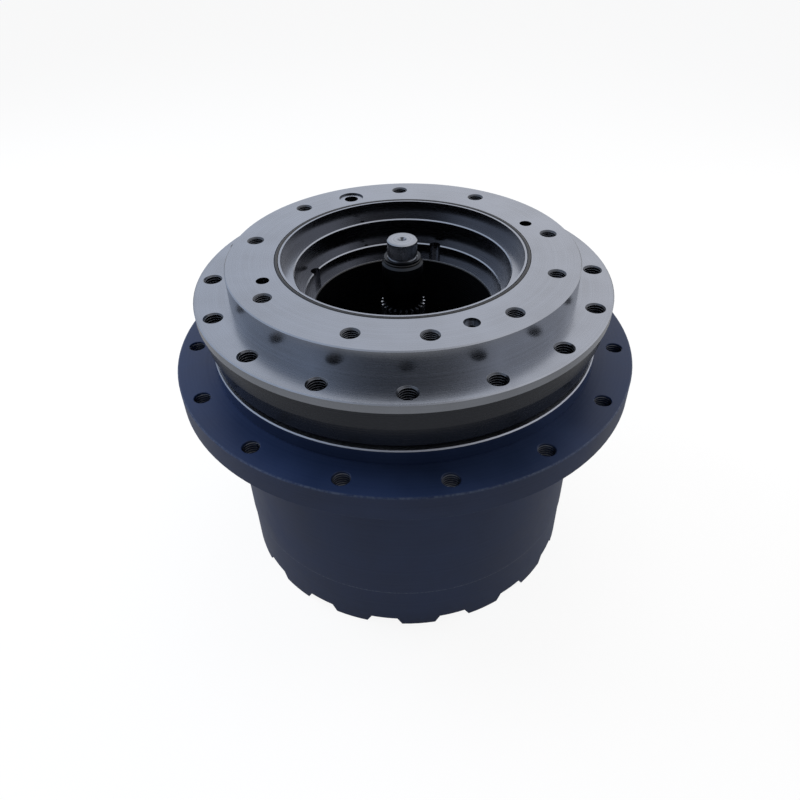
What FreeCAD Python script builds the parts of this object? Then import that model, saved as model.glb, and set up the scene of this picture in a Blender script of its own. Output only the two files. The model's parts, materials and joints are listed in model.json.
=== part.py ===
import FreeCAD, Part
import math
import os
import re

import Sketcher
from FreeCAD import Placement, Rotation, Vector

# Final drive of a tracked excavator, without its hydraulic motor.  The axis is Z.  The drive stands on the
# castellated rim of its end cover, and the motor bolts to the machined face at the top.  The spindle (frame
# side) is fixed, and the hub, ring gear and end cover turn round it through two planetary stages.

doc = FreeCAD.newDocument("final_drive")
sheet = doc.addObject("Spreadsheet::Sheet", "Sizes")

# ---------------------------------------------------------------------------------------------------------
# Sizes (millimetres and degrees).  Radii end in _r, heights above the floor in _level.
# ---------------------------------------------------------------------------------------------------------

DRIVING = [
    # gears, which every radius follows from
    ("gear_module", 3.5, ""),
    ("pressure_angle", 25, ""),
    ("ring_teeth", 78, ""),
    ("input_teeth", 12, "first sun, cut on the input shaft"),
    ("sun_teeth", 18, "second sun"),
    ("backlash", 0.4, ""),
    ("first_count", 3, "planets of the first stage"),
    ("second_count", 4, "planets of the second stage"),
    ("ring_wall", 21.125, "ring gear outside the roots of its teeth"),
    ("ring_margin", 8, "ring gear above the second planets"),
    ("ring_dowel_r", 5, ""),
    ("ring_dowel_length", 36, ""),
    ("ring_dowel_count", 8, ""),
    ("planet_floor", 10, "first planets above the cover wall"),
    ("first_width", 24, ""),
    ("second_width", 30, ""),
    ("sun_overhang", 1, "suns beyond their planets at each end"),
    ("plate_gap", 2, "room for the thrust washers at each planet's end"),
    ("washer_thick", 1.6, ""),
    ("washer_r", 30, ""),
    ("stage_gap", 4, "between the two carriers"),
    ("first_plate", 13, "carrier plates"),
    ("second_lower_plate", 11, ""),
    ("second_upper_plate", 12, ""),
    ("carrier_gap", 4, "carrier rim inside the ring gear's teeth"),
    ("first_carrier_rim", 5.25, "first carrier outside its pins"),
    ("first_pin_r", 16, ""),
    ("first_pin_overhang", 3.5, "first pin below its lower washer"),
    ("first_roller_r", 4, ""),
    ("first_roller_count", 14, ""),
    ("second_pin_r", 15, ""),
    ("second_roller_r", 5, ""),
    ("second_roller_count", 12, ""),
    ("roller_inset", 1, "rollers inside the ends of their planet"),
    ("snap_ring_thick", 2, ""),
    ("snap_ring_sunk", 1.5, "snap ring's inner edge inside the pin's surface"),
    ("snap_ring_proud", 3, "snap ring's outer edge outside it"),
    ("snap_ring_opening", 8, ""),
    ("column_r", 15, "columns between the second carrier's plates"),
    ("column_inset", 1, "columns inside the plates' rim"),
    ("sun_pass_gap", 1.5, "second carrier's bore round the tips of the second sun"),
    ("carrier_neck_length", 21.5, "second carrier above its plates, up to the spindle"),
    ("carrier_neck_step", 6, "carrier neck inside the bearing seat"),
    ("carrier_bolt_inset", 14, "carrier bolts inside the neck's outside"),
    ("carrier_bolt_r", 6, "M12 socket-head bolt"),
    ("carrier_bolt_grip", 22, ""),
    ("bolt_end_gap", 1, "hole beyond the end of a bolt or plug"),
    ("head_seat", 0.5, "counterbore deeper than the bolt's head"),
    ("carrier_dowel_r", 5, ""),
    ("carrier_dowel_length", 24, ""),
    # end cover
    ("lobe_depth", 10, "notches between the lobes that the drive stands on"),
    ("lobe_count", 16, "lobes round the cover rim, with one cover bolt in each notch"),
    ("lobe_phase", -87.5, "direction of the first lobe"),
    ("notch_floor_width", 27, "flat part of a notch"),
    ("notch_mouth_width", 38, "notch where it opens at the floor"),
    ("cover_step", 0.7, "cover's outside inside the hub's"),
    ("cover_height", 54, "cover from the floor to its joint face"),
    ("cover_wall", 14, "end wall"),
    ("ring_foot", 6, "step that the ring gear stands on"),
    ("gasket_thick", 1, "joint gasket"),
    ("cover_bolt_inset", 8, "cover bolts outside the ring gear"),
    ("cover_bolt_r", 5, "M10"),
    ("cover_bolt_play", 0.6, "radial play of the bolt in the cover"),
    ("cover_bolt_grip", 20, "bolt in the hub"),
    ("cover_thread_runout", 3, "hole beyond the bolt's end"),
    ("cover_head_flats", 16, "hexagon head, across its flats"),
    ("cover_head_height", 6.4, ""),
    ("lobe_wall", 11.7, "lobes' inner edge inside the bolt circle"),
    ("plug_r", 11, "M22 oil plug"),
    ("plug_inset", 28.875, "plugs inside the roots of the ring gear"),
    ("plug_count", 3, ""),
    ("plug_direction", 90, "direction of the first plug"),
    ("plug_head_rim", 4, "plug head beyond its thread"),
    ("plug_head_thick", 5, ""),
    ("plug_washer_thick", 1.5, ""),
    ("plug_socket_depth", 10, ""),
    ("pad_r", 20, "thrust pad under the input shaft"),
    ("pad_thick", 7, ""),
    ("pad_recess", 3, "seat of the pad in the end wall"),
    # hub
    ("hub_wall", 21, "wall of the hub barrel round the ring gear"),
    ("sprocket_rim", 44, "sprocket flange outside the barrel"),
    ("hub_flange_thick", 25.5, ""),
    ("hub_phase", -81, "direction of the first sprocket hole"),
    ("sprocket_hole_inset", 16.5, "sprocket holes inside the flange's edge"),
    ("sprocket_hole_r", 7.75, "tapped M18"),
    ("sprocket_hole_chamfer", 0.5, ""),
    ("sprocket_count", 15, ""),
    ("boss_step", 6.5, "seal boss outside the barrel"),
    ("boss_rise", 14.5, ""),
    ("pocket_shoulder", 2, "hub between the upper bearing and the face seal"),
    # main bearings and face seal
    ("ring_shoulder", 2, "step from the ring gear's bore to the bearings' bore"),
    ("bearing_rib", 8, "rib between the outer races"),
    ("bearing_height", 30, "bearing from its bore to its outside"),
    ("bearing_width", 30, ""),
    ("bearing_space", 8, "spacer between the inner races"),
    ("ball_rim", 5.5, "race outside the balls"),
    ("ball_count", 36, ""),
    ("race_gap", 2, "gap between a race and the cage"),
    ("spacer_step", 2, "spacer lower than the inner races"),
    ("cage_thick", 3.6, ""),
    ("cage_rim", 2.5, "cage beyond the balls at each side"),
    ("nut_thick", 11.5, ""),
    ("nut_wall", 16, ""),
    ("nut_slot_count", 8, ""),
    ("nut_slot_depth", 6, ""),
    ("nut_end", 1, "spindle thread beyond the nut"),
    ("core_step", 17, "spindle above the bearing seat, inside the face seal"),
    ("seal_clearance", 2, "metal seal rings outside the spindle"),
    ("seal_back_thick", 7, "back of a metal seal ring, which the rubber ring grips"),
    ("seal_lip_rise", 4, ""),
    ("seal_lip_thick", 3.5, ""),
    ("seal_lip_slope", 2.5, ""),
    ("seal_rubber_room", 17, "room for the rubber ring round a metal one"),
    ("seal_pocket_spare", 0.5, "pocket deeper than its rubber ring"),
    ("seal_ring_float", 5, "metal seal ring above the bottom of its pocket"),
    ("seal_gap", 5, "gap between the turning hub and the fixed spindle"),
    # spindle
    ("neck_wall", 15, "lower neck outside the seal pocket"),
    ("neck_length", 21.5, ""),
    ("collar_step", 5.5, "upper neck, which the frame bolts are tapped into"),
    ("collar_length", 20, ""),
    ("frame_flange_step", 4.5, "frame flange outside the upper neck"),
    ("frame_flange_thick", 8.5, ""),
    ("frame_hole_inset", 14.7, "frame holes inside the flange's edge"),
    ("frame_hole_r", 7.75, "tapped M18"),
    ("frame_hole_depth", 24, ""),
    ("frame_count", 16, ""),
    ("pilot_inset", 17.8, "machined drum inside the frame holes"),
    ("pilot_height", 25.5, ""),
    ("motor_hole_inset", 20.2, "motor holes inside the drum's edge"),
    ("motor_hole_r", 7, "tapped M16"),
    ("motor_hole_depth", 32, ""),
    ("motor_land", 30.9, "motor face from its bore to the motor holes' circle"),
    ("motor_bore_depth", 15, ""),
    ("middle_ledge", 11.4, "first ledge in the bore"),
    ("middle_bore_depth", 23.5, ""),
    ("lower_ledge", 8.5, "second ledge"),
    ("lower_bore_depth", 15, ""),
    ("through_ledge", 7.5, "third ledge"),
    ("face_groove_land", 2, "motor face inside its O-ring groove"),
    ("face_groove_width", 3.8, ""),
    ("face_groove_depth", 3.3, ""),
    ("dowel_inset", 20.3, "motor dowels outside the bore"),
    ("dowel_hole_r", 6, ""),
    ("dowel_hole_depth", 14, ""),
    ("port_inset", 23.9, "ports outside the bore"),
    ("port_spot_r", 13, "spot face of the drain port"),
    ("port_spot_depth", 1.6, ""),
    ("port_hole_r", 7.2, ""),
    ("port_hole_depth", 26, ""),
    ("pilot_port_r", 7.1, "mouth of the stepped pilot port"),
    ("pilot_port_mouth", 5, ""),
    ("pilot_port_drill_r", 3.5, ""),
    ("pilot_port_depth", 34, ""),
    ("oil_hole_r", 2.2, "drilled oil holes in the bore's ledges"),
    ("oil_hole_depth", 12, ""),
    ("oil_hole_inset", 3.7, "oil hole's centre outside the bore's lower edge"),
    ("slot_r", 6, "half-round oil slots beside the lower ledges"),
    ("slot_count", 4, ""),
    ("port_direction", 112.5, "direction of the drain port; the dowels and slots lie round from it"),
    # input shaft
    ("journal_r", 14.2, "top journal"),
    ("journal_reach", 11.5, "journal above the motor face"),
    ("journal_relief", 2, "groove between the sleeve and the journal"),
    ("journal_relief_depth", 0.8, ""),
    ("shaft_step", 1.8, "shaft outside the journal"),
    ("centre_hole_r", 4.2, ""),
    ("centre_hole_depth", 9, ""),
    ("sleeve_wall", 5.5, "sleeve outside the journal"),
    ("sleeve_drop", 9.7, "sleeve shoulder below the motor face"),
    ("sleeve_length", 86, ""),
    ("sleeve_chamfer", 2, ""),
    ("sleeve_neck_wall", 1.4, "bottom of the sleeve's sealing groove"),
    ("sleeve_neck_length", 2.2, ""),
    ("sleeve_collar_step", 1.7, ""),
    ("sleeve_collar_length", 2, ""),
    ("spline_rise", 2.1, "tips of the motor spline outside the sleeve"),
    ("spline_teeth", 22, ""),
    ("spline_depth", 2.6, ""),
    ("spline_tip_share", 0.55, "width of a tooth at its tip, by its width at its foot"),
    ("spline_drop", 45, "spline below the sleeve's shoulder"),
    ("sun_bore_gap", 4, "second sun's bore round the shaft"),
    ("sun_shank_wall", 6, "splined end of the second sun"),
    # fits and edges
    ("edge_chamfer", 1, ""),
    ("mouth_chamfer", 1.3, "chamfer at the mouth of a tapped hole"),
    ("locating_gap", 0.05, "radial gap of a fixed fit"),
    ("running_gap", 0.05, "radial gap of a running fit"),
    ("free_gap", 0.3, "gap between surfaces that pass each other"),
    ("axial_gap", 0.2, "end float of rings and washers"),
]

DERIVED = [
    # gears and what they carry
    ("ring_pitch_r", "gear_module*ring_teeth/2"),
    ("ring_tip_r", "ring_pitch_r-gear_module"),
    ("ring_root_r", "ring_pitch_r+1.25*gear_module"),
    ("ring_seat_r", "ring_root_r+ring_wall"),
    ("input_pitch_r", "gear_module*input_teeth/2"),
    ("sun_pitch_r", "gear_module*sun_teeth/2"),
    ("first_circle_r", "(ring_pitch_r+input_pitch_r)/2"),
    ("second_circle_r", "(ring_pitch_r+sun_pitch_r)/2"),
    ("first_carrier_rim_r", "first_circle_r+first_pin_r+first_carrier_rim"),
    ("carrier_rim_r", "ring_tip_r-carrier_gap"),
    ("column_circle_r", "carrier_rim_r-column_r-column_inset"),
    ("sun_pass_r", "sun_pitch_r+gear_module+sun_pass_gap"),
    ("first_bore_r", "first_pin_r+2*first_roller_r+2*running_gap"),
    ("second_bore_r", "second_pin_r+2*second_roller_r+2*running_gap"),
    # radii of the hub and the end cover
    ("hub_body_r", "ring_seat_r+hub_wall"),
    ("hub_flange_r", "hub_body_r+sprocket_rim"),
    ("sprocket_circle_r", "hub_flange_r-sprocket_hole_inset"),
    ("boss_r", "hub_body_r+boss_step"),
    ("cover_r", "hub_body_r-cover_step"),
    ("cover_bolt_circle_r", "ring_seat_r+cover_bolt_inset"),
    ("cover_bolt_clear_r", "cover_bolt_r+cover_bolt_play"),
    ("lobe_inner_r", "cover_bolt_circle_r-lobe_wall"),
    ("plug_circle_r", "ring_root_r-plug_inset"),
    ("plug_head_r", "plug_r+plug_head_rim"),
    ("pad_seat_r", "pad_r+locating_gap"),
    ("notch_floor_half", "notch_floor_width/2"),
    ("notch_mouth_half", "notch_mouth_width/2"),
    # radii of the bearings and the face seal
    ("bearing_outer_r", "ring_seat_r-ring_shoulder"),
    ("bearing_rib_r", "bearing_outer_r-bearing_rib"),
    ("bearing_inner_r", "bearing_outer_r-bearing_height"),
    ("bearing_ball_r", "bearing_height/2-ball_rim"),
    ("ball_circle_r", "(bearing_inner_r+bearing_outer_r)/2"),
    ("race_thick", "(bearing_height-cage_thick)/2-race_gap"),
    ("spacer_r", "bearing_inner_r+race_thick-spacer_step"),
    ("cage_width", "2*bearing_ball_r+2*cage_rim"),
    ("nut_r", "bearing_inner_r+nut_wall"),
    ("core_r", "bearing_inner_r+core_step"),
    ("seal_inner_r", "core_r+seal_clearance"),
    ("seal_back_r", "seal_inner_r+seal_back_thick"),
    ("seal_lip_r", "seal_back_r+seal_lip_rise"),
    ("seal_pocket_r", "seal_back_r+seal_rubber_room"),
    ("seal_pocket_depth", "seal_rubber_room+seal_pocket_spare"),
    ("seal_ring_depth", "seal_pocket_depth+seal_gap/2-seal_ring_float"),
    ("seal_rubber_centre_r", "(seal_back_r+seal_pocket_r)/2"),
    ("seal_rubber_r", "seal_rubber_room/2-2*locating_gap"),
    # radii of the spindle
    ("neck_r", "seal_pocket_r+neck_wall"),
    ("collar_r", "neck_r+collar_step"),
    ("frame_flange_r", "collar_r+frame_flange_step"),
    ("frame_circle_r", "frame_flange_r-frame_hole_inset"),
    ("pilot_r", "frame_circle_r-pilot_inset"),
    ("motor_circle_r", "pilot_r-motor_hole_inset"),
    ("motor_bore_r", "motor_circle_r-motor_land"),
    ("middle_bore_r", "motor_bore_r-middle_ledge"),
    ("lower_bore_r", "middle_bore_r-lower_ledge"),
    ("through_bore_r", "lower_bore_r-through_ledge"),
    ("dowel_circle_r", "motor_bore_r+dowel_inset"),
    ("port_circle_r", "motor_bore_r+port_inset"),
    ("face_groove_inner_r", "motor_bore_r+face_groove_land"),
    ("face_groove_outer_r", "face_groove_inner_r+face_groove_width"),
    ("face_ring_centre_r", "face_groove_inner_r+face_groove_width/2"),
    ("face_ring_section_r", "face_groove_width/2-locating_gap"),
    ("ledge_one_hole_circle_r", "middle_bore_r+oil_hole_inset"),
    ("ledge_two_hole_circle_r", "lower_bore_r+oil_hole_inset"),
    ("carrier_neck_r", "bearing_inner_r-carrier_neck_step"),
    ("carrier_bolt_circle_r", "carrier_neck_r-carrier_bolt_inset"),
    ("carrier_bolt_clear_r", "carrier_bolt_r+head_seat"),
    ("carrier_head_r", "1.5*carrier_bolt_r"),
    ("carrier_head_height", "2*carrier_bolt_r"),
    ("carrier_head_flats", "5*carrier_bolt_r/3"),
    # radii of the input shaft and the second sun
    ("shaft_r", "journal_r+shaft_step"),
    ("relief_r", "journal_r-journal_relief_depth"),
    ("centre_drill_r", "centre_hole_r/2"),
    ("sleeve_r", "journal_r+sleeve_wall"),
    ("sleeve_neck_r", "journal_r+sleeve_neck_wall"),
    ("sleeve_collar_r", "sleeve_neck_r+sleeve_collar_step"),
    ("sleeve_ring_section_r", "sleeve_neck_length/2-locating_gap"),
    ("sleeve_ring_centre_r", "sleeve_neck_r+sleeve_ring_section_r+locating_gap"),
    ("spline_r", "sleeve_r+spline_rise"),
    ("spline_root_r", "spline_r-spline_depth"),
    ("spline_foot_r", "spline_root_r-free_gap"),
    ("spline_foot_half", "pi*spline_root_r/spline_teeth/2"),
    ("spline_tip_half", "spline_foot_half*spline_tip_share"),
    ("sun_bore_r", "shaft_r+sun_bore_gap"),
    ("sun_shank_r", "sun_bore_r+sun_shank_wall"),
    ("sun_shank_bore_r", "sun_shank_r+locating_gap"),
    # levels, from the floor up through both stages
    ("cover_inside_level", "lobe_depth+cover_wall"),
    ("ring_bottom_level", "cover_inside_level+ring_foot"),
    ("hub_bottom_level", "cover_height+gasket_thick"),
    ("first_level", "cover_inside_level+planet_floor"),
    ("first_top_level", "first_level+first_width"),
    ("first_plate_level", "first_top_level+plate_gap"),
    ("first_carrier_top_level", "first_plate_level+first_plate"),
    ("second_carrier_level", "first_carrier_top_level+stage_gap"),
    ("second_plate_top_level", "second_carrier_level+second_lower_plate"),
    ("second_level", "second_plate_top_level+plate_gap"),
    ("second_top_level", "second_level+second_width"),
    ("upper_plate_level", "second_top_level+plate_gap"),
    ("upper_plate_top_level", "upper_plate_level+second_upper_plate"),
    ("ring_top_level", "second_top_level+ring_margin"),
    # levels of the spindle, the bearings and the hub
    ("spindle_bottom_level", "upper_plate_top_level+carrier_neck_length"),
    ("nut_level", "spindle_bottom_level+nut_end"),
    ("lower_bearing_level", "nut_level+nut_thick"),
    ("upper_bearing_level", "lower_bearing_level+bearing_width+bearing_space"),
    ("bearing_top_level", "upper_bearing_level+bearing_width"),
    ("hub_pocket_level", "bearing_top_level+pocket_shoulder"),
    ("hub_top_level", "hub_pocket_level+seal_pocket_depth"),
    ("flange_face_level", "hub_top_level-boss_rise"),
    ("flange_under_level", "flange_face_level-hub_flange_thick"),
    ("seal_face_level", "hub_top_level+seal_gap/2"),
    ("neck_level", "hub_top_level+seal_gap"),
    ("spindle_pocket_level", "neck_level+seal_pocket_depth"),
    ("collar_level", "neck_level+neck_length"),
    ("frame_under_level", "collar_level+collar_length"),
    ("frame_face_level", "frame_under_level+frame_flange_thick"),
    ("motor_face_level", "frame_face_level+pilot_height"),
    ("ledge_one_level", "motor_face_level-motor_bore_depth"),
    ("ledge_two_level", "ledge_one_level-middle_bore_depth"),
    ("ledge_three_level", "ledge_two_level-lower_bore_depth"),
    ("face_ring_level", "motor_face_level-face_groove_depth+face_ring_section_r+locating_gap"),
    ("carrier_dowel_half", "carrier_dowel_length/2"),
    ("carrier_dowel_bottom_level", "spindle_bottom_level-carrier_dowel_half"),
    ("carrier_head_level", "upper_plate_level+head_seat"),
    # levels of the input shaft
    ("pad_top_level", "cover_inside_level-pad_recess+pad_thick"),
    ("shaft_bottom_level", "pad_top_level+axial_gap"),
    ("shaft_top_level", "motor_face_level+journal_reach"),
    ("sleeve_top_level", "motor_face_level-sleeve_drop"),
    ("sleeve_seat_level", "sleeve_top_level-sleeve_length"),
    ("sleeve_collar_top_level", "sleeve_top_level+sleeve_neck_length+sleeve_collar_length"),
    ("relief_top_level", "sleeve_collar_top_level+journal_relief"),
    ("sleeve_ring_level", "sleeve_top_level+sleeve_neck_length/2"),
    ("spline_level", "sleeve_top_level-spline_drop"),
    ("spline_length", "sleeve_length-spline_drop"),
    # levels of the end cover's fittings
    ("plug_seat_level", "lobe_depth-plug_washer_thick"),
    ("plug_head_level", "plug_seat_level-plug_head_thick"),
    ("cover_thread_depth", "cover_bolt_grip+cover_thread_runout"),
    ("first_snap_ring_level", "first_level-plate_gap-snap_ring_thick"),
]

# Directions of the ten tapped motor holes: they are not evenly spaced, so that the motor goes on one way.
MOTOR_HOLE_DIRECTIONS = (11, 56, 90, 134.5, 168.5, 214, 252.5, 277.5, 308, 339)


def fill_sheet():
    """Writes every size into the sheet, with its alias, value or formula, and note."""
    rows = list(DRIVING) + [(name, "=" + formula, "worked out") for name, formula in DERIVED]
    for row, (name, value, note) in enumerate(rows, start=1):
        sheet.set("A%d" % row, name)
        sheet.set("B%d" % row, str(value))
        sheet.set("C%d" % row, note)
        sheet.setAlias("B%d" % row, name)
    doc.recompute()


fill_sheet()


def size(terms):
    """Value of a size, or of a sum such as 'boss_r-edge_chamfer'."""
    total = 0.0
    for sign, term in re.findall(r"([+-]?)([\w.]+)", terms):
        number = float(term) if term[0].isdigit() else float(sheet.get(term))
        total += -number if sign == "-" else number
    return total


def count(name):
    return int(round(size(name)))


def linked(terms):
    """The same sum as an expression on the sheet."""
    return re.sub(r"([a-z]\w*)", r"Sizes.\1", terms)


def bind(feature, property_name, terms):
    feature.setExpression(property_name, linked(terms))


# ---------------------------------------------------------------------------------------------------------
# Building blocks
# ---------------------------------------------------------------------------------------------------------

PARTS = []


def keep(feature):
    """Marks a finished sub-part, whose Label is the name of its file."""
    PARTS.append(feature)
    return feature


def origin_feature(body, role):
    return [item for item in body.Origin.OriginFeatures if item.Role == role][0]


def new_sketch(body, name, role):
    sketch = body.newObject("Sketcher::SketchObject", name)
    sketch.AttachmentSupport = [(origin_feature(body, role), "")]
    sketch.MapMode = "FlatFace"
    return sketch


def place_point(sketch, kind, geometry, point, terms):
    """Holds a point at a distance from the sketch's origin, or on the axis when the size is none."""
    if terms == "":
        axis = -2 if kind == "DistanceX" else -1
        sketch.addConstraint(Sketcher.Constraint("PointOnObject", geometry, point, axis))
        return
    index = sketch.addConstraint(Sketcher.Constraint(kind, -1, 1, geometry, point, size(terms)))
    bind(sketch, "Constraints[%d]" % index, terms)


def draw_polygon(sketch, outline):
    """Straight lines through corners given by their two sizes, each corner held by them."""
    corners = [Vector(size(across) if across else 0, size(up) if up else 0, 0) for across, up in outline]
    total = len(corners)
    for index, corner in enumerate(corners):
        sketch.addGeometry(Part.LineSegment(corner, corners[(index + 1) % total]), False)
    for index in range(total):
        sketch.addConstraint(Sketcher.Constraint("Coincident", index, 2, (index + 1) % total, 1))
    for index, (across, up) in enumerate(outline):
        place_point(sketch, "DistanceX", index, 1, across)
        place_point(sketch, "DistanceY", index, 1, up)


def turned(label, outline):
    """A body turned about Z from its (radius, height) corners."""
    body = doc.addObject("PartDesign::Body", label)
    body.Label = label
    sketch = new_sketch(body, label + "_outline", "XZ_Plane")
    draw_polygon(sketch, outline)
    feature = body.newObject("PartDesign::Revolution", label + "_turned")
    feature.Profile = sketch
    feature.ReferenceAxis = (sketch, ["V_Axis"])
    feature.Angle = 360
    return body


def repeat_round(body, feature, name, places):
    """Repeats a feature of a body evenly round the axis."""
    pattern = body.newObject("PartDesign::PolarPattern", name)
    pattern.Originals = [feature]
    pattern.Axis = (origin_feature(body, "Z_Axis"), [""])
    pattern.Angle = 360
    bind(pattern, "Occurrences", places)
    body.Tip = pattern


def ring(label, inner, outer, bottom, top):
    """A plain ring or, without an inner radius, a disc."""
    return turned(label, [(inner, bottom), (outer, bottom), (outer, top), (inner, top)])


def polar_terms(circle, direction):
    """Expressions for the X and Y of a place on a bolt circle."""
    across = "Sizes.%s*cos(%s)" % (circle, direction)
    along = "Sizes.%s*sin(%s)" % (circle, direction)
    return across, along


def drill(body, name, directions, circle, hole_r, mouth, depth, upwards=False):
    """Round holes on a circle, all from one face, each held by its direction.  The hole starts at the level
    mouth and goes down by depth, or up."""
    sketch = new_sketch(body, name + "_centres", "XY_Plane")
    bind(sketch, "AttachmentOffset.Base.z", mouth)
    for index, direction in enumerate(directions):
        angle = math.radians(direction)
        reach = size(circle)
        centre = Vector(reach * math.cos(angle), reach * math.sin(angle), 0)
        sketch.addGeometry(Part.Circle(centre, Vector(0, 0, 1), size(hole_r)), False)
        radius = sketch.addConstraint(Sketcher.Constraint("Radius", index, size(hole_r)))
        bind(sketch, "Constraints[%d]" % radius, hole_r)
        for kind, value, terms in zip(("DistanceX", "DistanceY"), (centre.x, centre.y),
                                      polar_terms(circle, direction)):
            if abs(value) < 1e-6:
                axis = -2 if kind == "DistanceX" else -1
                sketch.addConstraint(Sketcher.Constraint("PointOnObject", index, 3, axis))
                continue
            place = sketch.addConstraint(Sketcher.Constraint(kind, -1, 1, index, 3, value))
            sketch.setExpression("Constraints[%d]" % place, terms)
    pocket = body.newObject("PartDesign::Pocket", name)
    pocket.Profile = sketch
    pocket.Reversed = upwards
    bind(pocket, "Length", depth)
    return pocket


def even(name, phase=0.0):
    """Directions of so many places, evenly round the circle."""
    places = count(name)
    return [phase + 360.0 * index / places for index in range(places)]


def chamfer_mouths(body, name, hole_r, level, chamfer):
    """Chamfers every round edge of one radius at one level."""
    doc.recompute()
    edges = []
    for index, edge in enumerate(body.Shape.Edges, start=1):
        curve = edge.Curve
        if isinstance(curve, Part.Circle) and abs(curve.Radius - size(hole_r)) < 1e-4 \
                and abs(curve.Center.z - size(level)) < 1e-4:
            edges.append("Edge%d" % index)
    feature = body.newObject("PartDesign::Chamfer", name)
    feature.Base = (body.Tip if body.Tip is not feature else feature.BaseFeature, edges)
    bind(feature, "Size", chamfer)
    return feature


def shaped(label, shape):
    """A piece whose shape no primitive or sketch gives, such as a toothed gear."""
    feature = doc.addObject("Part::Feature", label)
    feature.Label = label
    feature.Shape = shape
    return feature


def cylinder(radius, bottom, top, x=0.0, y=0.0):
    height = size(top) - size(bottom)
    return Part.makeCylinder(size(radius), height, Vector(x, y, size(bottom)))


def polar(circle, direction):
    angle = math.radians(direction)
    return size(circle) * math.cos(angle), size(circle) * math.sin(angle)


def turned_copies(label, shape, directions):
    """Copies of one piece, turned about Z, as one group of separate solids."""
    copies = []
    for direction in directions:
        copy = shape.copy()
        copy.rotate(Vector(0, 0, 0), Vector(0, 0, 1), direction)
        copies.append(copy)
    return keep(shaped(label, Part.makeCompound(copies)))


# ---------------------------------------------------------------------------------------------------------
# Involute gears
# ---------------------------------------------------------------------------------------------------------

FLANK_POINTS = 7


def involute_angle(radius, base_r):
    """Polar angle of the involute of a base circle, where it reaches a radius."""
    if radius <= base_r:
        return 0.0
    pressure = math.acos(base_r / radius)
    return math.tan(pressure) - pressure


def tooth_flank(teeth, thickness, inner_r, outer_r):
    """Points of one flank, each as radius and half angle of the tooth there."""
    module = size("gear_module")
    pitch_r = module * teeth / 2
    base_r = pitch_r * math.cos(math.radians(size("pressure_angle")))
    at_pitch = thickness / (2 * pitch_r)
    start_r = max(inner_r, base_r)
    points = []
    if inner_r < base_r:
        points.append((inner_r, at_pitch + involute_angle(pitch_r, base_r)))
    for step in range(FLANK_POINTS):
        radius = start_r + (outer_r - start_r) * step / (FLANK_POINTS - 1)
        half = at_pitch + involute_angle(pitch_r, base_r) - involute_angle(radius, base_r)
        points.append((radius, half))
    return points


def polar_point(radius, angle):
    return Vector(radius * math.cos(angle), radius * math.sin(angle), 0)


def flank_edges(points, middle, side):
    """Edges of one flank, on one side of the tooth's middle, from its foot to its tip."""
    places = [polar_point(radius, middle + side * half) for radius, half in points]
    edges = []
    if len(places) > FLANK_POINTS:
        edges.append(Part.makeLine(places[0], places[1]))
        places = places[1:]
    curve = Part.BSplineCurve()
    curve.interpolate(places)
    edges.append(curve.toShape())
    return edges


def arc_edge(radius, start, end):
    middle = polar_point(radius, (start + end) / 2)
    return Part.Arc(polar_point(radius, start), middle, polar_point(radius, end)).toShape()


def toothed_face(teeth, thickness, inner_r, outer_r, phase):
    """Flat face with the outline of a gear.  A tooth's middle points in the direction phase."""
    points = tooth_flank(teeth, thickness, inner_r, outer_r)
    foot, tip = points[0][1], points[-1][1]
    pitch = 2 * math.pi / teeth
    edges = []
    for index in range(teeth):
        middle = phase + index * pitch
        rising = flank_edges(points, middle, -1)
        falling = flank_edges(points, middle, 1)
        edges += rising
        edges.append(arc_edge(outer_r, middle - tip, middle + tip))
        edges += falling[::-1]
        edges.append(arc_edge(inner_r, middle + foot, middle + pitch - foot))
    wire = Part.Wire(Part.__sortEdges__(edges))
    return Part.Face(wire)


def external_gear(teeth, phase, bottom, width):
    """Solid spur gear."""
    module = size("gear_module")
    pitch_r = module * teeth / 2
    thickness = math.pi * module / 2 - size("backlash") / 2
    face = toothed_face(teeth, thickness, pitch_r - 1.25 * module, pitch_r + module, phase)
    face.translate(Vector(0, 0, bottom))
    return face.extrude(Vector(0, 0, width))


# ---------------------------------------------------------------------------------------------------------
# Spindle: frame flange, centring drum, motor face, stepped bore and bearing seats
# ---------------------------------------------------------------------------------------------------------

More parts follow.
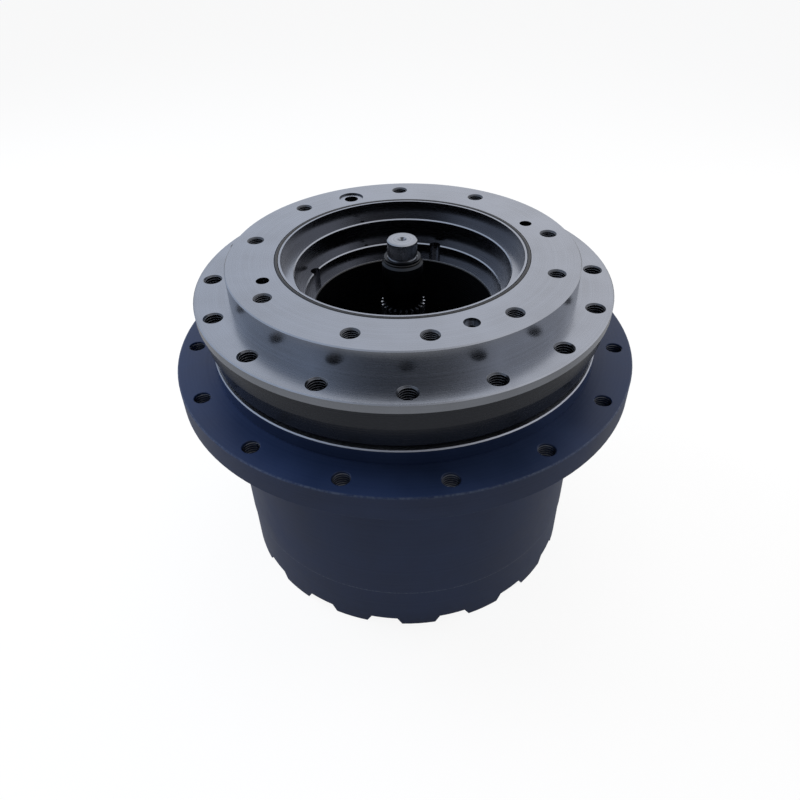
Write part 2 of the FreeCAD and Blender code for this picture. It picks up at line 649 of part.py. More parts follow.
def make_spindle():
    body = turned("spindle", [
        ("pilot_r-edge_chamfer", "motor_face_level"),
        ("pilot_r", "motor_face_level-edge_chamfer"),
        ("pilot_r", "frame_face_level"),
        ("frame_flange_r-edge_chamfer", "frame_face_level"),
        ("frame_flange_r", "frame_face_level-edge_chamfer"),
        ("frame_flange_r", "frame_under_level"),
        ("collar_r", "frame_under_level"),
        ("collar_r", "collar_level"),
        ("neck_r", "collar_level"),
        ("neck_r", "neck_level"),
        ("seal_pocket_r", "neck_level"),
        ("seal_pocket_r", "spindle_pocket_level"),
        ("core_r", "spindle_pocket_level"),
        ("core_r", "bearing_top_level"),
        ("bearing_inner_r", "bearing_top_level"),
        ("bearing_inner_r", "spindle_bottom_level"),
        ("through_bore_r", "spindle_bottom_level"),
        ("through_bore_r", "ledge_three_level-edge_chamfer"),
        ("through_bore_r+edge_chamfer", "ledge_three_level"),
        ("lower_bore_r", "ledge_three_level"),
        ("lower_bore_r", "ledge_two_level-edge_chamfer"),
        ("lower_bore_r+edge_chamfer", "ledge_two_level"),
        ("middle_bore_r", "ledge_two_level"),
        ("middle_bore_r", "ledge_one_level-edge_chamfer"),
        ("middle_bore_r+edge_chamfer", "ledge_one_level"),
        ("motor_bore_r", "ledge_one_level"),
        ("motor_bore_r", "motor_face_level-locating_gap"),
        ("face_groove_inner_r", "motor_face_level"),
        ("face_groove_inner_r", "motor_face_level-face_groove_depth"),
        ("face_groove_outer_r", "motor_face_level-face_groove_depth"),
        ("face_groove_outer_r", "motor_face_level"),
    ])
    drill(body, "frame_holes", even("frame_count"), "frame_circle_r", "frame_hole_r",
          "frame_face_level", "frame_hole_depth")
    drill(body, "motor_holes", MOTOR_HOLE_DIRECTIONS, "motor_circle_r", "motor_hole_r",
          "motor_face_level", "motor_hole_depth")
    port = size("port_direction")
    drill(body, "motor_dowel_holes", (port - 90, port + 90), "dowel_circle_r", "dowel_hole_r",
          "motor_face_level", "dowel_hole_depth")
    drill(body, "drain_spot_face", (port,), "port_circle_r", "port_spot_r",
          "motor_face_level", "port_spot_depth")
    drill(body, "drain_port", (port,), "port_circle_r", "port_hole_r",
          "motor_face_level", "port_hole_depth")
    drill(body, "pilot_port", (port + 180,), "port_circle_r", "pilot_port_r",
          "motor_face_level", "pilot_port_mouth")
    drill(body, "pilot_port_drilling", (port + 180,), "port_circle_r", "pilot_port_drill_r",
          "motor_face_level", "pilot_port_depth")
    drill(body, "ledge_one_oil_hole", (port,), "ledge_one_hole_circle_r", "oil_hole_r",
          "ledge_one_level", "oil_hole_depth")
    drill(body, "ledge_two_oil_hole", (port,), "ledge_two_hole_circle_r", "oil_hole_r",
          "ledge_two_level", "oil_hole_depth")
    drill(body, "oil_slots", even("slot_count", port - 45), "lower_bore_r", "slot_r",
          "ledge_two_level", "lower_bore_depth")
    chamfer_mouths(body, "frame_hole_mouths", "frame_hole_r", "frame_face_level", "mouth_chamfer")
    chamfer_mouths(body, "motor_hole_mouths", "motor_hole_r", "motor_face_level", "mouth_chamfer")
    return keep(body)


def torus(label, centre_r, section_r, level):
    """A rubber ring of round section."""
    feature = doc.addObject("Part::Torus", label)
    feature.Label = label
    bind(feature, "Radius1", centre_r)
    bind(feature, "Radius2", section_r)
    bind(feature, "Placement.Base.z", level)
    return keep(feature)


def make_face_o_ring():
    return torus("motor_face_o_ring", "face_ring_centre_r", "face_ring_section_r", "face_ring_level")


# ---------------------------------------------------------------------------------------------------------
# Floating face seal: a metal ring and a rubber ring in the spindle, and their mirror images in the hub
# ---------------------------------------------------------------------------------------------------------

def make_face_seal():
    keep(turned("hub_seal_ring", [
        ("seal_inner_r", "seal_face_level-seal_ring_depth"),
        ("seal_back_r", "seal_face_level-seal_ring_depth"),
        ("seal_back_r", "seal_face_level-seal_lip_thick-seal_lip_slope"),
        ("seal_lip_r", "seal_face_level-seal_lip_thick"),
        ("seal_lip_r", "seal_face_level-locating_gap"),
        ("seal_inner_r", "seal_face_level-locating_gap"),
    ]))
    keep(turned("spindle_seal_ring", [
        ("seal_inner_r", "seal_face_level+seal_ring_depth"),
        ("seal_back_r", "seal_face_level+seal_ring_depth"),
        ("seal_back_r", "seal_face_level+seal_lip_thick+seal_lip_slope"),
        ("seal_lip_r", "seal_face_level+seal_lip_thick"),
        ("seal_lip_r", "seal_face_level+locating_gap"),
        ("seal_inner_r", "seal_face_level+locating_gap"),
    ]))
    torus("hub_seal_rubber", "seal_rubber_centre_r", "seal_rubber_r",
          "hub_pocket_level+seal_rubber_r+locating_gap")
    torus("spindle_seal_rubber", "seal_rubber_centre_r", "seal_rubber_r",
          "spindle_pocket_level-seal_rubber_r-locating_gap")


# ---------------------------------------------------------------------------------------------------------
# Main bearings: two rows of large balls, a spacer and a ring nut
# ---------------------------------------------------------------------------------------------------------

def ball_groove_cut(shape, middle):
    """Takes the ball track out of a race."""
    track = Part.makeTorus(size("ball_circle_r"), size("bearing_ball_r") + size("locating_gap"),
                           Vector(0, 0, middle))
    return shape.cut(track)


def ring_solid(inner, outer, bottom, top):
    """Plain ring between two radii and two heights, all in millimetres."""
    whole = Part.makeCylinder(outer, top - bottom, Vector(0, 0, bottom))
    return whole.cut(Part.makeCylinder(inner, top - bottom, Vector(0, 0, bottom)))


def make_main_bearing(name, level):
    bottom = size(level)
    width = size("bearing_width")
    middle = bottom + width / 2
    inner_r = size("bearing_inner_r+locating_gap")
    outer_r = size("bearing_outer_r-locating_gap")
    inner = ring_solid(inner_r, inner_r + size("race_thick"), bottom, bottom + width)
    keep(shaped(name + "_inner_race", ball_groove_cut(inner, middle)))
    outer = ring_solid(outer_r - size("race_thick"), outer_r, bottom, bottom + width)
    keep(shaped(name + "_outer_race", ball_groove_cut(outer, middle)))
    circle_r = size("ball_circle_r")
    ball = Part.makeSphere(size("bearing_ball_r-locating_gap"), Vector(circle_r, 0, middle))
    directions = even("ball_count")
    turned_copies(name + "_balls", ball, directions)
    half = size("cage_thick") / 2
    cage = ring_solid(circle_r - half, circle_r + half,
                      middle - size("cage_width") / 2, middle + size("cage_width") / 2)
    pocket = Part.makeCylinder(size("bearing_ball_r+free_gap"), 4 * half,
                               Vector(circle_r - 2 * half, 0, middle), Vector(1, 0, 0))
    pockets = []
    for direction in directions:
        copy = pocket.copy()
        copy.rotate(Vector(0, 0, 0), Vector(0, 0, 1), direction)
        pockets.append(copy)
    keep(shaped(name + "_cage", cage.cut(pockets)))


def make_bearing_stack():
    make_main_bearing("upper_bearing", "upper_bearing_level")
    make_main_bearing("lower_bearing", "lower_bearing_level")
    keep(ring("bearing_spacer", "bearing_inner_r+locating_gap", "spacer_r",
              "lower_bearing_level+bearing_width", "upper_bearing_level"))
    nut = ring("bearing_nut", "bearing_inner_r+locating_gap", "nut_r", "nut_level", "lower_bearing_level")
    drill(nut, "spanner_slots", even("nut_slot_count"), "nut_r", "nut_slot_depth",
          "lower_bearing_level", "nut_thick")
    keep(nut)


# ---------------------------------------------------------------------------------------------------------
# Hub: barrel, sprocket flange and seal boss
# ---------------------------------------------------------------------------------------------------------

def make_hub():
    body = turned("hub", [
        ("hub_body_r", "hub_bottom_level"),
        ("hub_body_r", "flange_under_level"),
        ("hub_flange_r-edge_chamfer", "flange_under_level"),
        ("hub_flange_r", "flange_under_level+edge_chamfer"),
        ("hub_flange_r", "flange_face_level-edge_chamfer"),
        ("hub_flange_r-edge_chamfer", "flange_face_level"),
        ("boss_r", "flange_face_level"),
        ("boss_r", "hub_top_level-edge_chamfer"),
        ("boss_r-edge_chamfer", "hub_top_level"),
        ("seal_pocket_r", "hub_top_level"),
        ("seal_pocket_r", "hub_pocket_level"),
        ("bearing_outer_r", "hub_pocket_level"),
        ("bearing_outer_r", "upper_bearing_level"),
        ("bearing_rib_r", "upper_bearing_level"),
        ("bearing_rib_r", "lower_bearing_level+bearing_width"),
        ("bearing_outer_r", "lower_bearing_level+bearing_width"),
        ("bearing_outer_r", "ring_top_level"),
        ("ring_seat_r", "ring_top_level"),
        ("ring_seat_r", "hub_bottom_level"),
    ])
    drill(body, "sprocket_holes", even("sprocket_count", size("hub_phase")), "sprocket_circle_r",
          "sprocket_hole_r", "flange_face_level", "hub_flange_thick")
    drill(body, "cover_bolt_threads", notch_directions(), "cover_bolt_circle_r", "cover_bolt_r",
          "hub_bottom_level", "cover_thread_depth", upwards=True)
    drill(body, "ring_dowel_holes", even("ring_dowel_count"), "ring_seat_r", "ring_dowel_r",
          "ring_top_level", "ring_dowel_length")
    for name, level in (("upper", "flange_face_level"), ("lower", "flange_under_level")):
        chamfer_mouths(body, name + "_sprocket_mouths", "sprocket_hole_r", level, "sprocket_hole_chamfer")
    return keep(body)


def notch_directions():
    """Directions of the notches in the cover's rim, half way between its lobes."""
    return even("lobe_count", size("lobe_phase") + 180.0 / count("lobe_count"))


# ---------------------------------------------------------------------------------------------------------
# Ring gear, shared by both stages, with the dowels that key it to the hub
# ---------------------------------------------------------------------------------------------------------

def make_ring_gear():
    teeth = count("ring_teeth")
    module = size("gear_module")
    # The gaps between its teeth are the teeth of an external gear, made wider by the backlash.
    gap_width = math.pi * module / 2 + size("backlash") / 2
    phase = math.pi / teeth
    gaps = toothed_face(teeth, gap_width, size("ring_tip_r"), size("ring_root_r"), phase)
    bottom = size("ring_bottom_level")
    top = size("ring_top_level")
    gaps.translate(Vector(0, 0, bottom))
    blank = cylinder("ring_seat_r-locating_gap", "ring_bottom_level", "ring_top_level")
    gear = blank.cut(gaps.extrude(Vector(0, 0, top - bottom)))
    seats = []
    for direction in even("ring_dowel_count"):
        x, y = polar("ring_seat_r", direction)
        seats.append(cylinder("ring_dowel_r", "ring_top_level-ring_dowel_length", "ring_top_level", x, y))
    keep(shaped("ring_gear", gear.cut(seats)))
    dowel = cylinder("ring_dowel_r-locating_gap", "ring_top_level-ring_dowel_length+axial_gap",
                     "ring_top_level-axial_gap", size("ring_seat_r"))
    turned_copies("ring_gear_dowels", dowel, even("ring_dowel_count"))


# ---------------------------------------------------------------------------------------------------------
# End cover, its gasket, bolts, oil plugs and thrust pad
# ---------------------------------------------------------------------------------------------------------

def make_cover():
    body = turned("end_cover", [
        ("", "lobe_depth"),
        ("lobe_inner_r", "lobe_depth"),
        ("lobe_inner_r", ""),
        ("cover_r-edge_chamfer", ""),
        ("cover_r", "edge_chamfer"),
        ("cover_r", "cover_height"),
        ("ring_seat_r", "cover_height"),
        ("ring_seat_r", "ring_bottom_level"),
        ("ring_root_r", "ring_bottom_level"),
        ("ring_root_r", "cover_inside_level"),
        ("pad_seat_r", "cover_inside_level"),
        ("pad_seat_r", "cover_inside_level-pad_recess"),
        ("", "cover_inside_level-pad_recess"),
    ])
    drill(body, "bolt_holes", notch_directions(), "cover_bolt_circle_r", "cover_bolt_clear_r",
          "cover_height", "cover_height")
    drill(body, "plug_holes", plug_directions(), "plug_circle_r", "plug_r",
          "cover_inside_level", "cover_wall")
    cut_notches(body)
    return keep(body)


def plug_directions():
    return even("plug_count", size("plug_direction"))


def cut_notches(body):
    """One notch with sloping sides, cut outwards through the rim and repeated round it."""
    sketch = new_sketch(body, "notch_outline", "XZ_Plane")
    sketch.AttachmentOffset = Placement(Vector(0, 0, 0), Rotation(Vector(0, 1, 0), 1))
    # Unturned, the cut goes out along -Y, which is the direction -90.
    sketch.setExpression("AttachmentOffset.Rotation.Angle", "Sizes.lobe_phase+180/Sizes.lobe_count+90")
    draw_polygon(sketch, [
        ("-notch_mouth_half", ""),
        ("notch_mouth_half", ""),
        ("notch_floor_half", "lobe_depth"),
        ("-notch_floor_half", "lobe_depth"),
    ])
    pocket = body.newObject("PartDesign::Pocket", "notch")
    pocket.Profile = sketch
    pocket.Reversed = True
    bind(pocket, "Length", "cover_r+edge_chamfer")
    repeat_round(body, pocket, "notches", "lobe_count")


def hexagon(across_flats, bottom, top):
    """Hexagonal prism on the Z axis, with a flat towards +X."""
    corner_r = size(across_flats) / math.sqrt(3)
    corners = [polar_point(corner_r, math.radians(30 + 60 * k)) for k in range(7)]
    face = Part.Face(Part.makePolygon(corners))
    face.translate(Vector(0, 0, size(bottom)))
    return face.extrude(Vector(0, 0, size(top) - size(bottom)))


def make_cover_fittings():
    gasket = ring("cover_gasket", "ring_seat_r+locating_gap", "cover_r-edge_chamfer",
                  "cover_height", "hub_bottom_level")
    drill(gasket, "gasket_bolt_holes", notch_directions(), "cover_bolt_circle_r", "cover_bolt_clear_r",
          "hub_bottom_level", "gasket_thick")
    keep(gasket)

    bolt_x = size("cover_bolt_circle_r")
    head = hexagon("cover_head_flats", "lobe_depth-cover_head_height", "lobe_depth")
    shank = cylinder("cover_bolt_r-locating_gap", "lobe_depth", "hub_bottom_level+cover_bolt_grip")
    bolt = head.fuse(shank)
    bolt.translate(Vector(bolt_x, 0, 0))
    turned_copies("cover_bolts", bolt, notch_directions())

    # An oil plug: a short threaded body with a hexagon socket, a thin head and a copper washer under it.
    plug_x = size("plug_circle_r")
    thread = cylinder("plug_r-locating_gap", "plug_seat_level", "cover_inside_level-bolt_end_gap")
    cap = cylinder("plug_head_r", "plug_head_level", "plug_seat_level")
    socket = hexagon("plug_r", "plug_head_level", "plug_head_level+plug_socket_depth")
    plug = thread.fuse(cap).cut(socket)
    plug.translate(Vector(plug_x, 0, 0))
    turned_copies("oil_plugs", plug, plug_directions())
    washer = ring_solid(size("plug_r+locating_gap"), size("plug_head_r"),
                        size("plug_seat_level"), size("lobe_depth"))
    washer.translate(Vector(plug_x, 0, 0))
    turned_copies("oil_plug_washers", washer, plug_directions())
    keep(ring("thrust_pad", "", "pad_r", "cover_inside_level-pad_recess", "pad_top_level"))


# ---------------------------------------------------------------------------------------------------------
# First stage: the sun on the input shaft, three planets, and the carrier that drives the second sun
# ---------------------------------------------------------------------------------------------------------

def planet_phase(direction, ring_teeth, planet_teeth):
    """Direction of one of a planet's teeth, so that it meshes with a ring that has a tooth along +X."""
    return direction - 360.0 / planet_teeth * (ring_teeth * direction / 360.0 - 0.5)


def sun_phase(ring_teeth, sun_teeth, first_direction):
    """Direction of one of a sun's teeth, so that it meshes with the planets."""
    planet_teeth = (ring_teeth - sun_teeth) // 2
    turn = (ring_teeth + sun_teeth) * first_direction / 360.0
    half_turn = 0.5 * (planet_teeth % 2)
    return 360.0 / sun_teeth * (turn + half_turn)


def make_planet_set(stage, sun_teeth, directions):
    """Planets of one stage, each with its own rollers, and the pins and washers that they share."""
    ring_teeth = count("ring_teeth")
    planet_teeth = (ring_teeth - sun_teeth) // 2
    bottom = size(stage + "_level")
    width = size(stage + "_width")
    circle = stage + "_circle_r"
    roller_r = size(stage + "_roller_r")
    inset = size("roller_inset")
    roller_circle_r = size(stage + "_pin_r") + size("running_gap") + roller_r
    bore_r = size(stage + "_bore_r")
    for number, direction in enumerate(directions, start=1):
        x, y = polar(circle, direction)
        phase = math.radians(planet_phase(direction, ring_teeth, planet_teeth))
        gear = external_gear(planet_teeth, phase, bottom, width)
        gear = gear.cut(Part.makeCylinder(bore_r, width, Vector(0, 0, bottom)))
        gear.translate(Vector(x, y, 0))
        keep(shaped("%s_planet_%d" % (stage, number), gear))
        rollers = []
        for angle in even(stage + "_roller_count"):
            place = Vector(x, y, bottom + inset) + polar_point(roller_circle_r, math.radians(angle))
            rollers.append(Part.makeCylinder(roller_r, width - 2 * inset, place))
        keep(shaped("%s_planet_%d_rollers" % (stage, number), Part.makeCompound(rollers)))
    washers = []
    thick = size("washer_thick")
    play = (size("plate_gap") - thick) / 2
    for level in (bottom - size("plate_gap") + play, bottom + width + play):
        washer = ring_solid(size(stage + "_pin_r") + size("running_gap"), size("washer_r"), level, level + thick)
        washer.translate(Vector(size(circle), 0, 0))
        washers.append(washer)
    turned_copies(stage + "_thrust_washers", Part.makeCompound(washers), directions)


def make_first_stage():
    directions = even("first_count")
    make_planet_set("first", count("input_teeth"), directions)

    # The carrier is a plate with a splined bore.  Its pins stand down from it, with a snap ring at each end.
    carrier = ring("first_carrier", "sun_shank_bore_r", "first_carrier_rim_r",
                   "first_plate_level", "first_carrier_top_level")
    drill(carrier, "pin_holes", directions, "first_circle_r", "first_pin_r",
          "first_carrier_top_level", "first_plate")
    keep(carrier)
    x = size("first_circle_r")
    pin_r = size("first_pin_r") - size("locating_gap") / 2
    pin_end = size("first_level-plate_gap-first_pin_overhang")
    pin = Part.makeCylinder(pin_r, size("first_carrier_top_level") - pin_end, Vector(x, 0, pin_end))
    groove_bottom = size("first_snap_ring_level")
    groove_top = groove_bottom + size("snap_ring_thick")
    inner_r = pin_r - size("snap_ring_sunk")
    outer_r = pin_r + size("snap_ring_proud")
    groove = ring_solid(inner_r, outer_r, groove_bottom, groove_top)
    groove.translate(Vector(x, 0, 0))
    turned_copies("first_pins", pin.cut(groove), directions)
    gap = size("locating_gap")
    snap = ring_solid(inner_r + gap, outer_r, groove_bottom + gap, groove_top - gap)
    opening = size("snap_ring_opening")
    snap = snap.cut(Part.makeBox(opening, outer_r, groove_top - groove_bottom,
                                 Vector(-opening / 2, 0, groove_bottom)))
    snap.translate(Vector(x, 0, 0))
    turned_copies("first_pin_snap_rings", snap, directions)


# ---------------------------------------------------------------------------------------------------------
# Second stage: the hollow sun, four planets, and the carrier that is bolted to the spindle
# ---------------------------------------------------------------------------------------------------------

def make_second_sun():
    teeth = count("sun_teeth")
    phase = math.radians(sun_phase(count("ring_teeth"), teeth, 0.0))
    bottom = size("second_level-sun_overhang")
    gear = external_gear(teeth, phase, bottom, size("second_top_level+sun_overhang") - bottom)
    shank = cylinder("sun_shank_r-locating_gap", "first_plate_level", "second_level-sun_overhang")
    collar = cylinder("sun_pitch_r", "first_carrier_top_level+axial_gap", "second_level-sun_overhang")
    bore = cylinder("sun_bore_r", "first_plate_level", "second_top_level+sun_overhang")
    keep(shaped("second_sun", gear.fuse([shank, collar]).cut(bore)))


def make_second_carrier():
    directions = even("second_count")
    columns = [direction + 180.0 / len(directions) for direction in directions]
    lower = ring_solid(size("sun_pass_r"), size("carrier_rim_r"),
                       size("second_carrier_level"), size("second_plate_top_level"))
    upper = ring_solid(size("sun_pass_r"), size("carrier_rim_r"),
                       size("upper_plate_level"), size("upper_plate_top_level"))
    neck = ring_solid(size("through_bore_r"), size("carrier_neck_r"),
                      size("upper_plate_top_level"), size("spindle_bottom_level"))
    blocks = [upper, neck]
    for direction in columns:
        x, y = polar("column_circle_r", direction)
        blocks.append(cylinder("column_r", "second_carrier_level", "upper_plate_level", x, y))
    carrier = lower.fuse(blocks).removeSplitter()
    tools = []
    for direction in directions:
        x, y = polar("second_circle_r", direction)
        tools.append(cylinder("second_pin_r", "second_carrier_level", "upper_plate_top_level", x, y))
        x, y = polar("carrier_bolt_circle_r", direction)
        tools.append(cylinder("carrier_dowel_r", "carrier_dowel_bottom_level", "spindle_bottom_level", x, y))
    for direction in carrier_bolt_directions():
        x, y = polar("carrier_bolt_circle_r", direction)
        tools.append(cylinder("carrier_bolt_clear_r", "upper_plate_level", "spindle_bottom_level", x, y))
        tools.append(cylinder("carrier_head_r+free_gap", "upper_plate_level",
                              "carrier_head_level+carrier_head_height", x, y))
    keep(shaped("second_carrier", carrier.cut(tools)))

    pin = cylinder("second_pin_r-locating_gap", "second_carrier_level", "upper_plate_top_level",
                   size("second_circle_r"))
    turned_copies("second_pins", pin, directions)
    make_carrier_fasteners(directions)


def carrier_bolt_directions():
    places = 2 * count("second_count")
    return [180.0 / places + 360.0 * index / places for index in range(places)]


def make_carrier_fasteners(directions):
    """Socket-head bolts and dowels that hold the second carrier to the spindle's lower end."""
    circle_r = size("carrier_bolt_circle_r")
    head = cylinder("carrier_head_r", "carrier_head_level", "carrier_head_level+carrier_head_height")
    shank = cylinder("carrier_bolt_r-locating_gap", "carrier_head_level+carrier_head_height",
                     "spindle_bottom_level+carrier_bolt_grip-bolt_end_gap")
    socket = hexagon("carrier_head_flats", "carrier_head_level", "carrier_head_level+carrier_bolt_r")
    bolt = head.fuse(shank).cut(socket)
    bolt.translate(Vector(circle_r, 0, 0))
    turned_copies("carrier_bolts", bolt, carrier_bolt_directions())
    dowel = cylinder("carrier_dowel_r-locating_gap", "carrier_dowel_bottom_level+axial_gap",
                     "spindle_bottom_level+carrier_dowel_half-axial_gap", circle_r)
    turned_copies("carrier_dowels", dowel, directions)


def make_second_stage():
    make_planet_set("second", count("sun_teeth"), even("second_count"))
    make_second_sun()
    make_second_carrier()


# ---------------------------------------------------------------------------------------------------------
# Input shaft, with the first sun at its foot, and the splined sleeve near the motor face
# ---------------------------------------------------------------------------------------------------------

def make_input_shaft():
    teeth = count("input_teeth")
    phase = math.radians(sun_phase(count("ring_teeth"), teeth, 0.0))
    bottom = size("shaft_bottom_level")
    gear = external_gear(teeth, phase, bottom, size("first_top_level+sun_overhang") - bottom)
    shank = cylinder("shaft_r", "first_top_level", "sleeve_seat_level")
    seat = cylinder("journal_r", "sleeve_seat_level", "sleeve_collar_top_level")
    relief = cylinder("relief_r", "sleeve_collar_top_level", "relief_top_level")
    journal = cylinder("journal_r", "relief_top_level", "shaft_top_level-edge_chamfer")
    nose = Part.makeCone(size("journal_r"), size("journal_r-edge_chamfer"), size("edge_chamfer"),
                         Vector(0, 0, size("shaft_top_level-edge_chamfer")))
    mouth_r = size("centre_hole_r")
    centre_hole = cylinder("centre_drill_r", "shaft_top_level-centre_hole_depth", "shaft_top_level").fuse(
        Part.makeCone(size("centre_drill_r"), mouth_r, mouth_r,
                      Vector(0, 0, size("shaft_top_level") - mouth_r)))
    keep(shaped("input_shaft", gear.fuse([shank, seat, relief, journal, nose]).cut(centre_hole)))


def make_input_sleeve():
    """Sleeve with a collar and a sealing groove at its top, and motor spline teeth round its lower half."""
    sleeve = turned("input_sleeve", [
        ("journal_r+locating_gap", "sleeve_seat_level"),
        ("spline_root_r", "sleeve_seat_level"),
        ("spline_root_r", "spline_level"),
        ("sleeve_r", "spline_level"),
        ("sleeve_r", "sleeve_top_level-sleeve_chamfer"),
        ("sleeve_r-sleeve_chamfer", "sleeve_top_level"),
        ("sleeve_neck_r", "sleeve_top_level"),
        ("sleeve_neck_r", "sleeve_top_level+sleeve_neck_length"),
        ("sleeve_collar_r", "sleeve_top_level+sleeve_neck_length"),
        ("sleeve_collar_r", "sleeve_collar_top_level"),
        ("journal_r+locating_gap", "sleeve_collar_top_level"),
    ])
    sketch = new_sketch(sleeve, "spline_tooth_outline", "XY_Plane")
    bind(sketch, "AttachmentOffset.Base.z", "sleeve_seat_level")
    draw_polygon(sketch, [
        ("spline_foot_r", "-spline_foot_half"),
        ("spline_r", "-spline_tip_half"),
        ("spline_r", "spline_tip_half"),
        ("spline_foot_r", "spline_foot_half"),
    ])
    tooth = sleeve.newObject("PartDesign::Pad", "spline_tooth")
    tooth.Profile = sketch
    bind(tooth, "Length", "spline_length")
    repeat_round(sleeve, tooth, "spline", "spline_teeth")
    keep(sleeve)
    torus("sleeve_o_ring", "sleeve_ring_centre_r", "sleeve_ring_section_r", "sleeve_ring_level")


# ---------------------------------------------------------------------------------------------------------
# The whole drive
# ---------------------------------------------------------------------------------------------------------

def drill_spindle_foot(spindle):
    """Holes in the spindle's lower end for the second carrier's bolts and dowels."""
    drill(spindle, "carrier_bolt_threads", carrier_bolt_directions(), "carrier_bolt_circle_r",
          "carrier_bolt_r", "spindle_bottom_level", "carrier_bolt_grip", upwards=True)
    drill(spindle, "carrier_dowel_holes", even("second_count"), "carrier_bolt_circle_r",
          "carrier_dowel_r", "spindle_bottom_level", "carrier_dowel_half", upwards=True)


def write_parts():
    doc.recompute()
    for item in doc.Objects:
        bad = [state for state in item.State if state in ("Invalid", "Error")]
        if bad:
            raise RuntimeError("%s: %s" % (item.Label, ", ".join(bad)))
    os.makedirs("parts", exist_ok=True)
    for feature in PARTS:
        shape = feature.Shape
        if shape.isNull() or not shape.isValid():
            raise RuntimeError(feature.Label + " has no valid shape")
        shape.exportStep("parts/%s.step" % feature.Label)
        print("%-28s %2d solid(s) %12.1f mm3" % (feature.Label, len(shape.Solids), shape.Volume))


drill_spindle_foot(make_spindle())
make_face_o_ring()
make_face_seal()
make_bearing_stack()
make_hub()
make_ring_gear()
make_cover()
make_cover_fittings()
make_first_stage()
make_second_stage()
make_input_shaft()
make_input_sleeve()
write_parts()
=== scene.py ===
# %% [markdown]
# # An excavator's final drive
# This lesson dresses a finished CAD model.  The drive is a stack of turned steel and painted iron: a bare
# machined spindle on top, a slate-blue hub with a sprocket flange round it, and a castellated end cover that
# it stands on.  The shapes are all in the frame already, so nearly every cell below is about light and finish.

# %% Load the frame
import json
import math

import bpy
from mathutils import Matrix, Vector


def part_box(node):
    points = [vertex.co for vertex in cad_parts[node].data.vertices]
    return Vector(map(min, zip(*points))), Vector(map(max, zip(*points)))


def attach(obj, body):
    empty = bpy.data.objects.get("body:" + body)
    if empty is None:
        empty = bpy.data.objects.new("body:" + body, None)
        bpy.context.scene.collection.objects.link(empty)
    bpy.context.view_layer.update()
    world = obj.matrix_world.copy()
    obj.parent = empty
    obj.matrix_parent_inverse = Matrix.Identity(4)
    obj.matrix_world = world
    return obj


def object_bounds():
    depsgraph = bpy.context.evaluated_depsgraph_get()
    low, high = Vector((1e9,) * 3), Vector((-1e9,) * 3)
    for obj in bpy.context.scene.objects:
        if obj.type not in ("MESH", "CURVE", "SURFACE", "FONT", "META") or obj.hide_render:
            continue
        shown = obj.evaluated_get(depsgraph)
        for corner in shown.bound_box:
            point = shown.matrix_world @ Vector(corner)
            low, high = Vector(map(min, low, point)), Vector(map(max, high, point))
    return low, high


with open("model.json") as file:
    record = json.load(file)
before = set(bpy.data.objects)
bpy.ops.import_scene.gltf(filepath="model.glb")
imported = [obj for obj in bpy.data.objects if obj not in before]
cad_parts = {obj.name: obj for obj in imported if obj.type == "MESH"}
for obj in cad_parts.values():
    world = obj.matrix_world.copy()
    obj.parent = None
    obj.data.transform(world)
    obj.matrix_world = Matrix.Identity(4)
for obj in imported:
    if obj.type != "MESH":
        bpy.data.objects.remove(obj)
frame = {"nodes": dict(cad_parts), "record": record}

scene = bpy.context.scene
scene.view_settings.view_transform = "Standard"
record = frame["record"]
mounts = {mount["name"]: mount for mount in record["mounts"]}
mm = 0.001
cad_box = [list(corner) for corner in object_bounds()]
print("CAD box in mm:", [[round(value / mm, 1) for value in corner] for corner in cad_box])

# %% [markdown]
# ## Levels and radii
# A turned part is described by radii and heights, and so is its finish: paint ends at one shoulder and bare
# steel starts at another.  They could be typed in again, but then they would part from the model at the first
# change, so they are read from the boxes of the CAD nodes and from the mounts.

# %% Places on the drive that the finishes need
spindle_low, spindle_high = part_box("spindle")
hub_low, hub_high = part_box("hub")
cover_low, cover_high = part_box("end_cover")
sleeve_low, sleeve_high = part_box("input_sleeve")

spline_drop = 45 * mm
spline_rise = 2.1 * mm
bore_depth = 53.5 * mm
frame_flange_thick = 8.5 * mm
hub_flange_thick = 25.5 * mm
seal_boss_step = 1.05 * mm

motor_face = spindle_high[2]
frame_face = mounts["frame_face"]["pos_m"][2]
flange_under = mounts["sprocket_face"]["pos_m"][2]
pilot_radius = mounts["frame_pilot"]["dims"]["r_mm"] * mm
barrel_radius = mounts["sprocket_pilot"]["dims"]["r_mm"] * mm
frame_flange_radius = spindle_high[0]
hub_flange_radius = hub_high[0]
boss_top = hub_high[2]
seam_level = cover_high[2]
passage_level = motor_face - bore_depth
spline_level = sleeve_high[2] - spline_drop
spline_foot_radius = sleeve_high[0] - spline_rise
passage_radius = 110 * mm
neck_radius = 150 * mm

frame_bolts = mounts["frame_bolts"]["dims"]
sprocket_bolts = mounts["sprocket_bolts"]["dims"]
motor_bolts = [mount for name, mount in mounts.items() if name.startswith("motor_bolt_")]
frame_circle = frame_bolts["pcd_mm"] / 2 * mm
motor_circle = Vector(motor_bolts[0]["pos_m"][:2]).length
sprocket_circle = sprocket_bolts["pcd_mm"] / 2 * mm
frame_flange_under = frame_face - frame_flange_thick
flange_face = flange_under + hub_flange_thick
print("motor face %.1f, frame face %.1f, flange face %.1f, boss top %.1f, seam %.1f mm" % tuple(
    level / mm for level in (motor_face, frame_face, flange_face, boss_top, seam_level)))
print("bolt circles at %.1f, %.1f and %.1f mm" % tuple(
    radius / mm for radius in (motor_circle, frame_circle, sprocket_circle)))

# %% [markdown]
# ## Camera
# The drive is seen from close by and from above, so its rings open into wide ellipses and the lower end tapers
# away.  A rotation in Euler angles would do, but three directions at right angles say more plainly where the
# camera looks, so its matrix is built from them.

